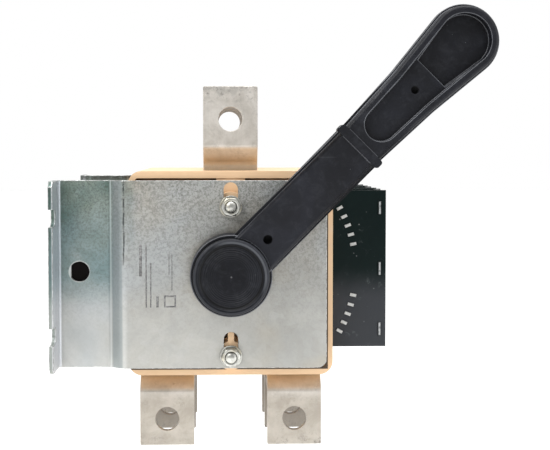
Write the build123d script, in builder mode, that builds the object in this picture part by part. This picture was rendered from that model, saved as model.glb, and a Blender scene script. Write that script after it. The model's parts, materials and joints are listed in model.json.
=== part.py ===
from build123d import *
import os
from math import acos, atan2, cos, degrees, hypot, radians, sin

os.makedirs("parts", exist_ok=True)

# Three-pole changeover switch disconnector with knife contacts, arc chutes and a side lever.
# Millimetres. The panel it bolts to is the plane X = 0, +X points away from the panel, +Z is up
# from the middle of the side brackets, and the drive shaft lies along Y. The lever is on the -Y
# side, in position I.

# ---- driving dimensions ----------------------------------------------------------------------
SHAFT_X = 79.5  # panel to the shaft's axis
SHAFT_Z = 0.9  # the shaft is a little above the middle of the brackets
POLES = 3
PITCH = 40.0  # pole to pole
HALF = PITCH / 2
STACK = POLES * HALF  # half the width of the three poles

FREE = 0.3  # gap between parts that don't touch
SLACK = 0.05  # gap in a close fit, each side
MORE = 1.0  # cuts run past the surface by this much

SHEET = 2.0  # side bracket sheet
BEND = 1.5  # inside bend radius of the sheet
PLATE_Y = 67.0  # outer face of each side bracket
PLATE_H = 84.4
PLATE_LEFT = -48.2  # where the main plate ends, from the shaft
PLATE_RIGHT = 43.1
PLATE_CORNER = 4.0
JOG = 6.0  # the legs stand this much further in than the main plate
FOOT = 22.0  # length of the foot on the panel
FOOT_CORNER = 2.5
NOTCH_W = 7.5
NOTCH_DEPTH = 11.0
NOTCH_Z = 26.0

LEG_HOLE_X = -68.2  # hole with a flat in the leg, from the shaft in X
LEG_HOLE_Z = 1.1
LEG_HOLE_R = 4.5
LEG_HOLE_FLAT = 0.9  # how far the flat comes in
SLOT_W = 6.4  # stud slots
SLOT_L = 14.1
SLOT_TOP_END = 27.3
SLOT_LOW_END = -25.9
STRAP_H = 26.0
STRAP_TAB = 19.0  # the strap's ends turn forward along the legs

BODY = 92.6  # the moulded pole is square
BODY_R = 6.0
BODY_INNER_R = 1.2
WALL = 3.2
FLOOR_IN = 9.5  # inner and outer faces of the web, from the pole's middle plane
FLOOR_OUT = 12.5
STUD_TOP_Z = 30.5
STUD_LOW_Z = -36.8
STUD_R = 2.5
STUD_HOLE_R = 2.75
STUD_END = 73.5
BOSS_R = 6.5
LOW_BOSS_R = 7.4
HUB_RING_R = 15.5
HUB_BORE_R = 12.3
RIB = 2.8
RIB_BACK = 0.6  # the ribs stop this far short of the rim
PAD_TOP_H = 6.0  # pads that clamp the bars
PAD_LOW_H = 2.6

BAR_W = 25.0  # terminal bar section
BAR_T = 4.0
BAR_HOLE_R = 5.5
BAR_STEP = 7.0  # the terminal pads stand forward of the pole's middle plane
BAR_BEND = 3.5
STEP_TOP_Z = 49.8
STEP_LOW_Z = -47.8
TOP_BAR_END = 22.0
JAW_LOW = 24.0  # the top bar's side lug, which the knives grip in position I
JAW_TOP = 41.8
JAW_RIGHT = 37.0
JAW_CORNER = 4.0
FRONT_BAR_END = -22.0
REAR_BAR_END = 12.9
EYE_R = 15.0
EYE_BORE_R = 9.3
LOW_BAR_X = 29.4
PAD_TOP_END = 85.0
PAD_TOP_HOLE = 69.9
PAD_TOP_CORNER = 0.5
PAD_LOW_END = -80.6
PAD_LOW_HOLE = -68.4
PAD_LOW_CORNER = 0.3

CORE_R = 8.8  # rotor core, with two flats
CORE_FLATS = 15.2
FLANGE_R = 11.8
FLANGE_IN = 7.0  # from the pole's middle plane to the flange
SPRING_R = 13.0
SPRING_T = 0.8
KNIFE_EYE_R = 13.5
KNIFE_T = 2.5
KNIFE_ANGLE = 45.0  # the knives above the horizontal, in position I
KNIFE_GAP = 0.15  # each blade to the bar it straddles
KNIFE_W = 20.0
KNIFE_TIP = 46.0
KNIFE_TIP_R = 4.0
RIVET_AT = 23.0
RIVET_R = 2.5
RIVET_HEAD_R = 4.2
RIVET_HEAD_H = 1.6

SQUARE = 10.0  # drive shaft
JOURNAL_R = 4.95
DRIVE_SQUARE = 6.8
SQUARE_END = 61.0
JOURNAL_PROUD = 0.3
SHAFT_NEAR = 76.5
SHAFT_FAR = 70.5
BUSH_IN = 61.5
BUSH_R = 8.0
BUSH_FLANGE_R = 11.0
CLIP_Y = 67.6
CLIP_T = 1.0
CLIP_R = 8.0
GROOVE_R = 4.2
CLIP_MOUTH = 6.4

WASHER_R = 5.0
WASHER_T = 1.0
NUT_FLATS = 8.0
NUT_H = 4.0
SPACER_RIB_H = 16.0  # a rib on the lower spacers keeps them from turning
STUD_CHAMFER = 0.5
SCREW_R = 2.4
SCREW_L = 12.0
SCREW_FLATS = 8.0
SCREW_HEAD_H = 3.5
LEVER_WASHER_R = 8.0

CHUTE_LEFT = 28.0
CHUTE_RIGHT = 71.3
CHUTE_TOP = 37.4
CHUTE_LOW = -34.6
CHUTE_WALL = 2.0
CHUTE_FACE = 68.5  # middle of the front wall
TAB_R = 57.5
TAB_ANGLES = (11.8, 16.3, 20.7, 25.1, 29.5)
TAB_L = 2.8
TAB_PROUD = 0.4
CHUTE_SLACK = 0.5
SPLITTER_T = 1.3
SPLITTER_IN = 51.5
SPLITTER_OUT = 66.0
SPLITTER_MOUTH = 3.5  # half width of the notch that draws the arc in
SPLITTER_MOUTH_L = 7.0
FACE_T = 1.5
FACE_TAB_H = 5.8
FACE_TAB_PITCH = 27.9
VENTS = 7
VENT_PITCH = 8.4
VENT_L = 14.0
VENT_W = 3.4

LEVER_ANGLE = 45.3
HUB_R = 18.0
HUB_BACK = 0.7  # gap between the side bracket and the hub
HUB_H = 17.0
CAP_R = 16.6
CAP_TOP = 24.0  # top of the cap above the side bracket
ARM_W = 23.0
ARM_BACK = 8.5
ARM_TOP = 20.0
COLLAR_AT = 79.5
GRIP_W = 22.2
GRIP_WAIST_AT = 113.0
GRIP_WAIST_W = 25.4
GRIP_END_AT = 144.4
GRIP_END_R = 15.9
ARM_START = 9.0
EDGE_STEP = 1.1
EDGE_ROUND = 1.6
COLLAR_L = 4.0
COLLAR_PROUD = 1.0
POCKET_START = 92.8
POCKET_START_R = 7.4
POCKET_WAIST = 113.0
POCKET_WAIST_W = 16.6
POCKET_STEP_AT = 124.2
POCKET_END_R = 11.5
POCKET_STEP = 3.6
POCKET_DEEP = 7.0
PIN_HOLE_AT = 22.6
PIN_HOLE_R = 2.05
HANG_HOLE_AT = 114.0
HANG_HOLE_R = 1.75
PIN_HOLE_DEPTH = 9.0
CELLS = 3  # hollows in the back of the arm
CELLS_AT = 50.5
CELL_PITCH = 16.5
CELL_L = 14.0
CELL_W = 15.0
CELL_ROUND = 1.5
CELL_DEPTH = 8.5
SCREW_SEAT = 10.0
WELL_R = 13.0
CAP_DISH = 1.1
CAP_RIM = 2.0
CAP_SKIRT = 2.0
CAP_SKIRT_T = 1.5
CAP_T = 2.0
CAP_EDGE = 1.0

KNIFE_IN = BAR_T / 2 + KNIFE_GAP
KNIFE_OUT = KNIFE_IN + KNIFE_T
KNIFE_DIRECTION = (cos(radians(KNIFE_ANGLE)), 0, sin(radians(KNIFE_ANGLE)))
LEVER_DIRECTION = (cos(radians(LEVER_ANGLE)), 0, sin(radians(LEVER_ANGLE)))


def facing(y):
    """The plane at this Y, seen from the lever side: x from the shaft, y from the brackets' middle."""
    return Plane(origin=(SHAFT_X, y, 0), x_dir=(1, 0, 0), z_dir=(0, -1, 0))


def shaft_plane(y):
    """The plane at this Y, seen from the lever side, with its origin on the shaft's axis."""
    return Plane(origin=(SHAFT_X, y, SHAFT_Z), x_dir=(1, 0, 0), z_dir=(0, -1, 0))


def knife_plane(y):
    """The plane at this Y, with its x along the knives in position I."""
    return Plane(origin=(SHAFT_X, y, SHAFT_Z), x_dir=KNIFE_DIRECTION, z_dir=(0, -1, 0))


def lever_plane(height):
    """The plane at this height above the side bracket, with its x along the lever in position I."""
    return Plane(origin=(SHAFT_X, -PLATE_Y - height, SHAFT_Z), x_dir=LEVER_DIRECTION, z_dir=(0, -1, 0))


def save(builder, name):
    builder.part.label = name
    export_step(builder.part, f"parts/{name}.step")


def double_d(grow=0.0):
    """Outline of the rotor core: a circle with two flats."""
    Circle(CORE_R + grow)
    Rectangle(2 * (CORE_R + MORE), CORE_FLATS + 2 * grow, mode=Mode.INTERSECT)


# ---- side brackets ---------------------------------------------------------------------------
# The run follows the sheet's inner face, from the tip of the foot to the front of the plate.
leg_in = PLATE_Y - JOG - SHEET
sheet_run = [
    (0, -leg_in - SHEET - FOOT),
    (0, -leg_in),
    (SHAFT_X + PLATE_LEFT - JOG, -leg_in),
    (SHAFT_X + PLATE_LEFT, SHEET - PLATE_Y),
    (SHAFT_X + PLATE_RIGHT, SHEET - PLATE_Y),
]
foot_tip = leg_in + SHEET + FOOT

with BuildPart() as near_bracket:
    with BuildSketch(Plane.XY.offset(-PLATE_H / 2)):
        with BuildLine():
            FilletPolyline(*sheet_run, radius=BEND + SHEET)
            offset(amount=SHEET, side=Side.RIGHT)
        make_face()
    extrude(amount=PLATE_H)
    fillet(near_bracket.edges().filter_by(Axis.Y).group_by(Axis.X)[-1], radius=PLATE_CORNER)
    chamfer(near_bracket.edges().filter_by(Axis.X).group_by(Axis.Y)[0], length=FOOT_CORNER)
    # open notches for the panel screws
    with BuildSketch(Plane.YZ):
        with Locations((-foot_tip, NOTCH_Z), (-foot_tip, -NOTCH_Z)):
            SlotCenterToCenter(2 * (NOTCH_DEPTH - NOTCH_W / 2), NOTCH_W)
    extrude(amount=SHEET, mode=Mode.SUBTRACT)
    # a hole with one flat in the leg
    with BuildSketch(facing(-leg_in)):
        with Locations((LEG_HOLE_X, LEG_HOLE_Z)):
            Circle(LEG_HOLE_R)
        with Locations((LEG_HOLE_X + LEG_HOLE_FLAT, LEG_HOLE_Z)):
            Rectangle(2 * LEG_HOLE_R, 2 * LEG_HOLE_R, mode=Mode.INTERSECT)
    extrude(amount=SHEET, mode=Mode.SUBTRACT)
    # the bush hole, and slots for the tie studs
    with BuildSketch(facing(-PLATE_Y)):
        with Locations((0, SHAFT_Z)):
            Circle(BUSH_R)
        with Locations((0, SLOT_TOP_END + SLOT_L / 2), (0, SLOT_LOW_END - SLOT_L / 2)):
            SlotOverall(SLOT_L, SLOT_W, rotation=90)
    extrude(amount=-SHEET, mode=Mode.SUBTRACT)
save(near_bracket, "near_bracket")

with BuildPart() as far_bracket:
    add(mirror(near_bracket.part, about=Plane.XZ))
save(far_bracket, "far_bracket")

with BuildPart() as rear_tie_strap:
    with BuildSketch(Plane.XY.offset(-STRAP_H / 2)):
        with BuildLine():
            FilletPolyline(
                (STRAP_TAB, -leg_in), (0, -leg_in), (0, leg_in), (STRAP_TAB, leg_in), radius=BEND + SHEET
            )
            offset(amount=SHEET, side=Side.RIGHT)
        make_face()
    extrude(amount=STRAP_H)
save(rear_tie_strap, "rear_tie_strap")

# ---- poles -----------------------------------------------------------------------------------
for pole in range(POLES):
    mid = (pole - (POLES - 1) / 2) * PITCH
    number = pole + 1

    # moulded half shells: an open face, a web, and clamping pads and bosses inside
    for side, half_name in ((-1, "front_shell"), (1, "back_shell")):
        out = -side
        with BuildPart() as shell:
            with BuildSketch(facing(mid)):
                RectangleRounded(BODY, BODY, BODY_R)
                RectangleRounded(BODY - 2 * WALL, BODY - 2 * WALL, BODY_INNER_R, mode=Mode.SUBTRACT)
            extrude(amount=out * HALF)
            with BuildSketch(facing(mid + side * FLOOR_IN)):
                RectangleRounded(BODY, BODY, BODY_R)
            extrude(amount=out * (FLOOR_OUT - FLOOR_IN))
            with BuildSketch(facing(mid + side * (BAR_T / 2 + SLACK))):
                with Locations((0, BODY / 2 - WALL)):
                    Rectangle(BAR_W, PAD_TOP_H, align=(Align.CENTER, Align.MAX))
                with Locations((-LOW_BAR_X, WALL - BODY / 2), (LOW_BAR_X, WALL - BODY / 2)):
                    Rectangle(BAR_W, PAD_LOW_H, align=(Align.CENTER, Align.MIN))
            extrude(amount=out * (FLOOR_IN - BAR_T / 2 - SLACK))
            with BuildSketch(facing(mid)):
                with Locations((0, STUD_TOP_Z), (0, STUD_LOW_Z)):
                    Circle(BOSS_R)
            extrude(amount=out * HALF)
            with BuildSketch(facing(mid + side * FLOOR_OUT)):
                with Locations((0, SHAFT_Z)):
                    Circle(HUB_RING_R)
                with Locations((0, STUD_LOW_Z)):
                    Circle(LOW_BOSS_R)
                with Locations((0, STUD_TOP_Z)):
                    Rectangle(2 * BOSS_R, BODY / 2 - STUD_TOP_Z, align=(Align.CENTER, Align.MIN))
                with Locations((0, -BODY / 2)):
                    Rectangle(RIB, BODY, align=(Align.CENTER, Align.MIN))
                with Locations((-BODY / 2, 0)):
                    Rectangle(BODY / 2, RIB, align=(Align.MIN, Align.CENTER))
            extrude(amount=out * (HALF - FLOOR_OUT - RIB_BACK))
            # openings: drive, tie studs, bar slots and the arc chute's window
            with BuildSketch(facing(mid)):
                with Locations((0, SHAFT_Z)):
                    Circle(HUB_BORE_R)
                with Locations((0, STUD_TOP_Z), (0, STUD_LOW_Z)):
                    Circle(STUD_HOLE_R)
            extrude(amount=out * HALF, mode=Mode.SUBTRACT)
            with BuildSketch(facing(mid)):
                with Locations((0, BODY / 2 - WALL / 2)):
                    Rectangle(BAR_W + 4 * SLACK, WALL + MORE)
                with Locations((-LOW_BAR_X, WALL / 2 - BODY / 2), (LOW_BAR_X, WALL / 2 - BODY / 2)):
                    Rectangle(BAR_W + 4 * SLACK, WALL + MORE)
            extrude(amount=out * (BAR_T / 2 + SLACK), mode=Mode.SUBTRACT)
            with BuildSketch(facing(mid)):
                with Locations((CHUTE_LEFT - CHUTE_SLACK, CHUTE_LOW - CHUTE_SLACK)):
                    Rectangle(
                        BODY / 2 - CHUTE_LEFT + MORE,
                        CHUTE_TOP - CHUTE_LOW + 2 * CHUTE_SLACK,
                        align=(Align.MIN, Align.MIN),
                    )
            extrude(amount=out * (FLOOR_OUT + SLACK), mode=Mode.SUBTRACT)
        save(shell, f"{half_name}_{number}")

    # terminal bars: a pad that steps forward, then a bar in the pole's middle plane
    with BuildPart() as top_terminal:
        with BuildSketch(Plane.YZ.offset(SHAFT_X - BAR_W / 2)):
            with BuildLine():
                FilletPolyline(
                    (mid - BAR_STEP - BAR_T / 2, PAD_TOP_END),
                    (mid - BAR_STEP - BAR_T / 2, STEP_TOP_Z + BAR_STEP),
                    (mid - BAR_T / 2, STEP_TOP_Z),
                    (mid - BAR_T / 2, TOP_BAR_END),
                    radius=BAR_BEND,
                )
                offset(amount=BAR_T, side=Side.LEFT)
            make_face()
        extrude(amount=BAR_W)
        with BuildSketch(facing(mid + BAR_T / 2)):
            with Locations((0, JAW_LOW)):
                Rectangle(JAW_RIGHT, JAW_TOP - JAW_LOW, align=(Align.MIN, Align.MIN))
        extrude(amount=BAR_T)
        fillet(top_terminal.edges().filter_by(Axis.Y).group_by(Axis.X)[-1], radius=JAW_CORNER)
        chamfer(top_terminal.edges().filter_by(Axis.Y).group_by(Axis.Z)[-1], length=PAD_TOP_CORNER)
        with BuildSketch(facing(mid + BAR_T)):
            with Locations((0, STUD_TOP_Z)):
                Circle(BOSS_R + FREE)
            with Locations((0, PAD_TOP_HOLE)):
                Circle(BAR_HOLE_R)
        extrude(amount=BAR_STEP + 3 * BAR_T, mode=Mode.SUBTRACT)
    save(top_terminal, f"top_terminal_{number}")

    for bar_x, bar_end, bar_name in (
        (LOW_BAR_X, FRONT_BAR_END, "lower_front_terminal"),
        (-LOW_BAR_X, REAR_BAR_END, "lower_rear_terminal"),
    ):
        with BuildPart() as terminal:
            with BuildSketch(Plane.YZ.offset(SHAFT_X + bar_x - BAR_W / 2)):
                with BuildLine():
                    FilletPolyline(
                        (mid - BAR_STEP - BAR_T / 2, PAD_LOW_END),
                        (mid - BAR_STEP - BAR_T / 2, STEP_LOW_Z - BAR_STEP),
                        (mid - BAR_T / 2, STEP_LOW_Z),
                        (mid - BAR_T / 2, bar_end),
                        radius=BAR_BEND,
                    )
                    offset(amount=BAR_T, side=Side.RIGHT)
                make_face()
            extrude(amount=BAR_W)
            chamfer(terminal.edges().filter_by(Axis.Y).group_by(Axis.Z)[0], length=PAD_LOW_CORNER)
            if bar_x < 0:
                # the common bar carries an eye round the rotor
                eye_h = 2 * (REAR_BAR_END - SHAFT_Z)
                with BuildSketch(shaft_plane(mid + BAR_T / 2)):
                    Circle(EYE_R)
                    with Locations((-LOW_BAR_X, 0)):
                        Rectangle(LOW_BAR_X, eye_h, align=(Align.MIN, Align.CENTER))
                extrude(amount=BAR_T)
                with BuildSketch(shaft_plane(mid + BAR_T / 2)):
                    Circle(EYE_BORE_R)
                extrude(amount=BAR_T, mode=Mode.SUBTRACT)
            with BuildSketch(facing(mid + BAR_T)):
                with Locations((bar_x, PAD_LOW_HOLE)):
                    Circle(BAR_HOLE_R)
            extrude(amount=BAR_STEP + 3 * BAR_T, mode=Mode.SUBTRACT)
        save(terminal, f"{bar_name}_{number}")

    # rotor: a core with two flats and a square bore, a flange at its back, a collar in front
    with BuildPart() as rotor:
        with BuildSketch(knife_plane(mid + HALF - FREE)):
            Circle(FLANGE_R)
            Rectangle(SQUARE + 2 * SLACK, SQUARE + 2 * SLACK, mode=Mode.SUBTRACT)
        extrude(amount=HALF - FREE - FLANGE_IN)
        with BuildSketch(knife_plane(mid + FLANGE_IN)):
            double_d()
            Rectangle(SQUARE + 2 * SLACK, SQUARE + 2 * SLACK, mode=Mode.SUBTRACT)
        extrude(amount=HALF - FREE + FLANGE_IN)
    save(rotor, f"rotor_{number}")

    with BuildPart() as rotor_collar:
        with BuildSketch(knife_plane(mid - FLANGE_IN)):
            Circle(FLANGE_R)
        extrude(amount=HALF - FREE - FLANGE_IN)
        with BuildSketch(knife_plane(mid - FLANGE_IN)):
            double_d(grow=SLACK)
        extrude(amount=HALF - FREE - FLANGE_IN, mode=Mode.SUBTRACT)
    save(rotor_collar, f"rotor_collar_{number}")

    # a pair of knife blades, one each side of the bars
    with BuildPart() as knife_pair:
        with BuildSketch(knife_plane(mid - KNIFE_IN), knife_plane(mid + KNIFE_OUT)):
            Circle(KNIFE_EYE_R)
            Rectangle(KNIFE_TIP, KNIFE_W, align=(Align.MIN, Align.CENTER))
        extrude(amount=KNIFE_T)
        tips = knife_pair.edges().filter_by(Axis.Y).group_by(Axis((0, 0, 0), KNIFE_DIRECTION))[-1]
        fillet(tips, radius=KNIFE_TIP_R)
        with BuildSketch(knife_plane(mid - KNIFE_IN), knife_plane(mid + KNIFE_OUT)):
            double_d(grow=SLACK)
            with Locations((RIVET_AT, 0)):
                Circle(RIVET_R + SLACK)
        extrude(amount=KNIFE_T, mode=Mode.SUBTRACT)
    save(knife_pair, f"knife_pair_{number}")

    with BuildPart() as knife_rivet:
        with BuildSketch(knife_plane(mid + KNIFE_OUT + SLACK)):
            with Locations((RIVET_AT, 0)):
                Circle(RIVET_R)
        extrude(amount=2 * (KNIFE_OUT + SLACK))
        with BuildSketch(knife_plane(mid - KNIFE_OUT - SLACK)):
            with Locations((RIVET_AT, 0)):
                Circle(RIVET_HEAD_R)
        extrude(amount=RIVET_HEAD_H)
        with BuildSketch(knife_plane(mid + KNIFE_OUT + SLACK + RIVET_HEAD_H)):
            with Locations((RIVET_AT, 0)):
                Circle(RIVET_HEAD_R)
        extrude(amount=RIVET_HEAD_H)
    save(knife_rivet, f"knife_rivet_{number}")

    # dished washers press the blades against the common bar's eye
    with BuildPart() as knife_springs:
        for side in (-1, 1):
            with BuildSketch(Plane(origin=(SHAFT_X, mid, SHAFT_Z), z_dir=(0, 0, 1))):
                with BuildLine():
                    Polyline(
                        (CORE_R + FREE, side * (FLANGE_IN - SLACK)),
                        (CORE_R + FREE, side * (FLANGE_IN - SLACK - SPRING_T)),
                        (SPRING_R, side * (KNIFE_OUT + SLACK)),
                        (SPRING_R, side * (KNIFE_OUT + SLACK + SPRING_T)),
                        close=True,
                    )
                make_face()
            revolve(axis=Axis((SHAFT_X, mid, SHAFT_Z), (0, 1, 0)))
    save(knife_springs, f"knife_springs_{number}")

    # arc chute: two fibre side walls, a vented front wall, and splitter plates tabbed into them
    chute_mid_z = (CHUTE_TOP + CHUTE_LOW) / 2
    chute_in = FLOOR_OUT - CHUTE_WALL
    angles = [sign * angle for sign in (1, -1) for angle in TAB_ANGLES]
    with BuildPart() as chute_sides:
        with BuildSketch(facing(mid - chute_in), facing(mid + FLOOR_OUT)):
            with Locations((CHUTE_LEFT, CHUTE_LOW)):
                Rectangle(
                    CHUTE_RIGHT - CHUTE_LEFT, CHUTE_TOP - CHUTE_LOW, align=(Align.MIN, Align.MIN)
                )
            with Locations((0, SHAFT_Z)):
                for angle in angles:
                    with PolarLocations(TAB_R, 1, start_angle=angle):
                        Rectangle(TAB_L + 4 * SLACK, SPLITTER_T + 4 * SLACK, mode=Mode.SUBTRACT)
            with Locations(*[(CHUTE_FACE, chute_mid_z + step * FACE_TAB_PITCH) for step in (-1, 0, 1)]):
                Rectangle(FACE_T + 4 * SLACK, FACE_TAB_H + 4 * SLACK, mode=Mode.SUBTRACT)
        extrude(amount=CHUTE_WALL)
    save(chute_sides, f"chute_side_walls_{number}")

    with BuildPart() as chute_face:
        with BuildSketch(Plane.YZ.offset(SHAFT_X + CHUTE_FACE - FACE_T / 2)):
            with Locations((mid, chute_mid_z)):
                Rectangle(2 * (chute_in - SLACK), CHUTE_TOP - CHUTE_LOW)
            with Locations(*[(mid, chute_mid_z + step * FACE_TAB_PITCH) for step in (-1, 0, 1)]):
                Rectangle(2 * (FLOOR_OUT + TAB_PROUD), FACE_TAB_H)
            with Locations((mid, chute_mid_z)):
                with GridLocations(0, VENT_PITCH, 1, VENTS):
                    SlotOverall(VENT_L, VENT_W, mode=Mode.SUBTRACT)
        extrude(amount=FACE_T)
    save(chute_face, f"chute_front_wall_{number}")

    with BuildPart() as splitters:
        for angle in angles:
            along = (cos(radians(angle)), 0, sin(radians(angle)))
            across = (-sin(radians(angle)), 0, cos(radians(angle)))
            with BuildSketch(Plane(origin=(SHAFT_X, mid, SHAFT_Z), x_dir=along, z_dir=across)):
                with Locations((SPLITTER_IN, 0)):
                    Rectangle(
                        SPLITTER_OUT - SPLITTER_IN,
                        2 * (chute_in - SLACK),
                        align=(Align.MIN, Align.CENTER),
                    )
                with Locations((TAB_R, 0)):
                    Rectangle(TAB_L, 2 * (FLOOR_OUT + TAB_PROUD))
                with BuildLine():
                    Polyline(
                        (SPLITTER_IN, -SPLITTER_MOUTH),
                        (SPLITTER_IN + SPLITTER_MOUTH_L, 0),
                        (SPLITTER_IN, SPLITTER_MOUTH),
                        close=True,
                    )
                make_face(mode=Mode.SUBTRACT)
            extrude(amount=SPLITTER_T / 2, both=True)
    save(splitters, f"splitter_plates_{number}")

# ---- drive shaft -----------------------------------------------------------------------------
with BuildPart() as drive_shaft:
    with BuildSketch(knife_plane(SQUARE_END)):
        Rectangle(SQUARE, SQUARE)
    extrude(amount=2 * SQUARE_END)
    with BuildSketch(knife_plane(SHAFT_FAR)):
        Circle(JOURNAL_R)
    extrude(amount=SHAFT_FAR + PLATE_Y + JOURNAL_PROUD)
    with BuildSketch(lever_plane(JOURNAL_PROUD)):
        Rectangle(DRIVE_SQUARE, DRIVE_SQUARE)
    extrude(amount=SHAFT_NEAR - PLATE_Y - JOURNAL_PROUD)
    with BuildSketch(knife_plane(CLIP_Y + CLIP_T + SLACK)):
        Circle(JOURNAL_R + MORE)
        Circle(GROOVE_R, mode=Mode.SUBTRACT)
    extrude(amount=CLIP_T + 2 * SLACK, mode=Mode.SUBTRACT)
    with BuildSketch(knife_plane(-SHAFT_NEAR)):
        Circle(SCREW_R + SLACK)
    extrude(amount=-SCREW_L, mode=Mode.SUBTRACT)
save(drive_shaft, "drive_shaft")

for side, bush_name in ((-1, "near_bush"), (1, "far_bush")):
    out = -side
    with BuildPart() as bush:
        with BuildSketch(shaft_plane(side * BUSH_IN)):
            Circle(BUSH_FLANGE_R)
        extrude(amount=out * (PLATE_Y - SHEET - BUSH_IN))
        with BuildSketch(shaft_plane(side * BUSH_IN)):
            Circle(BUSH_R)
        extrude(amount=out * (PLATE_Y - BUSH_IN))
        with BuildSketch(shaft_plane(side * BUSH_IN)):
            Circle(JOURNAL_R + SLACK)
        extrude(amount=out * (PLATE_Y - BUSH_IN), mode=Mode.SUBTRACT)
    save(bush, bush_name)

with BuildPart() as retaining_clip:
    with BuildSketch(shaft_plane(CLIP_Y + CLIP_T)):
        Circle(CLIP_R)
        Circle(GROOVE_R + SLACK, mode=Mode.SUBTRACT)
        Rectangle(CLIP_R + MORE, CLIP_MOUTH, align=(Align.MIN, Align.CENTER), mode=Mode.SUBTRACT)
    extrude(amount=CLIP_T)
save(retaining_clip, "retaining_clip")

# ---- tie studs and their hardware ------------------------------------------------------------
for stud_z, stud_name in ((STUD_TOP_Z, "upper_tie_stud"), (STUD_LOW_Z, "lower_tie_stud")):
    with BuildPart() as tie_stud:
        with BuildSketch(facing(STUD_END)):
            with Locations((0, stud_z)):
                Circle(STUD_R)
        extrude(amount=2 * STUD_END)
        chamfer(tie_stud.edges().filter_by(GeomType.CIRCLE), length=STUD_CHAMFER)
    save(tie_stud, stud_name)

stud_places = [(0, STUD_TOP_Z), (0, STUD_LOW_Z)]
with BuildPart() as stud_spacers:
    for side in (-1, 1):
        with BuildSketch(facing(side * STACK)):
            with Locations(*stud_places):
                Circle(BOSS_R)
            with Locations((0, STUD_LOW_Z)):
                Rectangle(RIB, SPACER_RIB_H, align=(Align.CENTER, Align.MIN))
            with Locations(*stud_places):
                Circle(STUD_HOLE_R, mode=Mode.SUBTRACT)
        extrude(amount=-side * (PLATE_Y - SHEET - STACK))
save(stud_spacers, "stud_spacers")

with BuildPart() as stud_washers:
    for side in (-1, 1):
        with BuildSketch(facing(side * PLATE_Y)):
            with Locations(*stud_places):
                Circle(WASHER_R)
                Circle(STUD_HOLE_R, mode=Mode.SUBTRACT)
        extrude(amount=-side * WASHER_T)
save(stud_washers, "stud_washers")

with BuildPart() as stud_nuts:
    for side in (-1, 1):
        with BuildSketch(facing(side * (PLATE_Y + WASHER_T))):
            with Locations(*stud_places):
                RegularPolygon(NUT_FLATS / 2, 6, major_radius=False, rotation=30)
                Circle(STUD_R + SLACK, mode=Mode.SUBTRACT)
        extrude(amount=-side * NUT_H)
save(stud_nuts, "stud_nuts")

# ---- lever -----------------------------------------------------------------------------------
reach = hypot(GRIP_END_AT - GRIP_WAIST_AT, GRIP_WAIST_W / 2)
turn = degrees(atan2(GRIP_WAIST_W / 2, GRIP_WAIST_AT - GRIP_END_AT) - acos(GRIP_END_R / reach))


def lever_outline(shrink=0.0):
    """The arm and grip: straight sides that widen to a round end, drawn this much smaller all round."""
    end_r = GRIP_END_R - shrink
    tangent = (GRIP_END_AT + end_r * cos(radians(turn)), end_r * sin(radians(turn)))
    upper = [
        (ARM_START, ARM_W / 2 - shrink),
        (COLLAR_AT, GRIP_W / 2 - shrink),
        (GRIP_WAIST_AT, GRIP_WAIST_W / 2 - shrink),
        tangent,
    ]
    lower = [(x, -y) for x, y in reversed(upper)]
    with BuildLine() as outline:
        Polyline(*upper)
        ThreePointArc(upper[-1], (GRIP_END_AT + end_r, 0), lower[0])
        Polyline(*lower, upper[0])
    make_face(outline.edges())


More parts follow.
